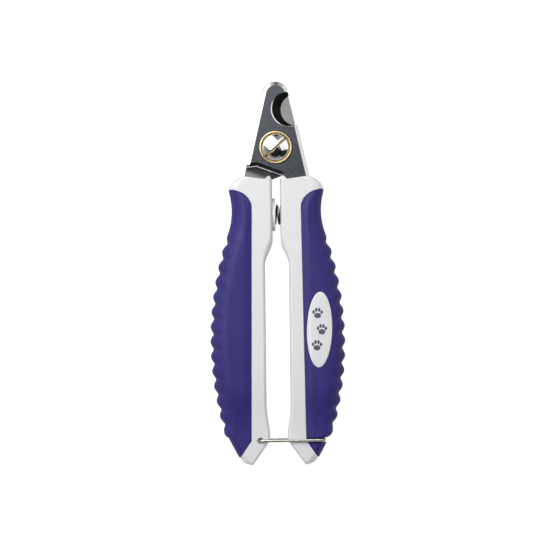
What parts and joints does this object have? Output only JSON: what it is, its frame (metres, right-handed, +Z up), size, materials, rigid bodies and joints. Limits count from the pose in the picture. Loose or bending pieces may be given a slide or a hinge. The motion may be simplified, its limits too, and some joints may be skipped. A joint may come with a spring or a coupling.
{
  "type": "scissor nail clipper",
  "caption": "Scissor-type pet nail clipper: two notched steel blades on a brass-bushed pivot, soft ridged grips on rigid cores, return spring and wire latch.",
  "frame": {"origin": "centre of the tool's outline, on the surface that its back lies on", "axes": "+X to the right handle, +Y to the blade tips, +Z up from the surface, out of the face with the screw head"},
  "size_m": [0.0528, 0.15, 0.0161],
  "materials": {
    "blade_steel": "satin ground steel with bright bevels",
    "brass": "polished",
    "chrome": "polished",
    "zinc_steel": "zinc plated",
    "core_plastic": "satin",
    "grip_light": "matte, soft",
    "badge_white": "gloss",
    "cup_plastic": "satin",
    "spring_steel": "oil-hardened wire",
    "latch_steel": "bright nickel wire"
  },
  "bodies": {
    "left_handle": {"rear_blade": "blade_steel", "left_core": "core_plastic", "left_grip": "grip_light", "spring_cup": "cup_plastic", "pivot_bush": "brass", "pivot_screw": "chrome", "lock_washer": "zinc_steel", "pivot_nut": "zinc_steel", "return_spring": "spring_steel"},
    "right_handle": {"front_blade": "blade_steel", "right_core": "core_plastic", "right_grip": "grip_light", "grip_badge": "badge_white"},
    "latch": {"latch_wire": "latch_steel"}
  },
  "joints": [
    {"name": "handle_pivot", "type": "hinge", "parent": "left_handle", "child": "right_handle", "pos_m": [0, 0.0493, 0.008], "axis": [0, 0, 1], "range_deg": [0, 22.5], "deforming": ["return_spring"]},
    {"name": "latch_swing", "type": "hinge", "parent": "left_handle", "child": "latch", "pos_m": [-0.0072, -0.0654, 0.008], "axis": [0, 0, 1], "range_deg": [-180, 0], "deforming": ["latch_wire"]}
  ],
  "couplings": [
    {"joint": "latch_swing", "follows": "handle_pivot", "ratio": -8}
  ]
}
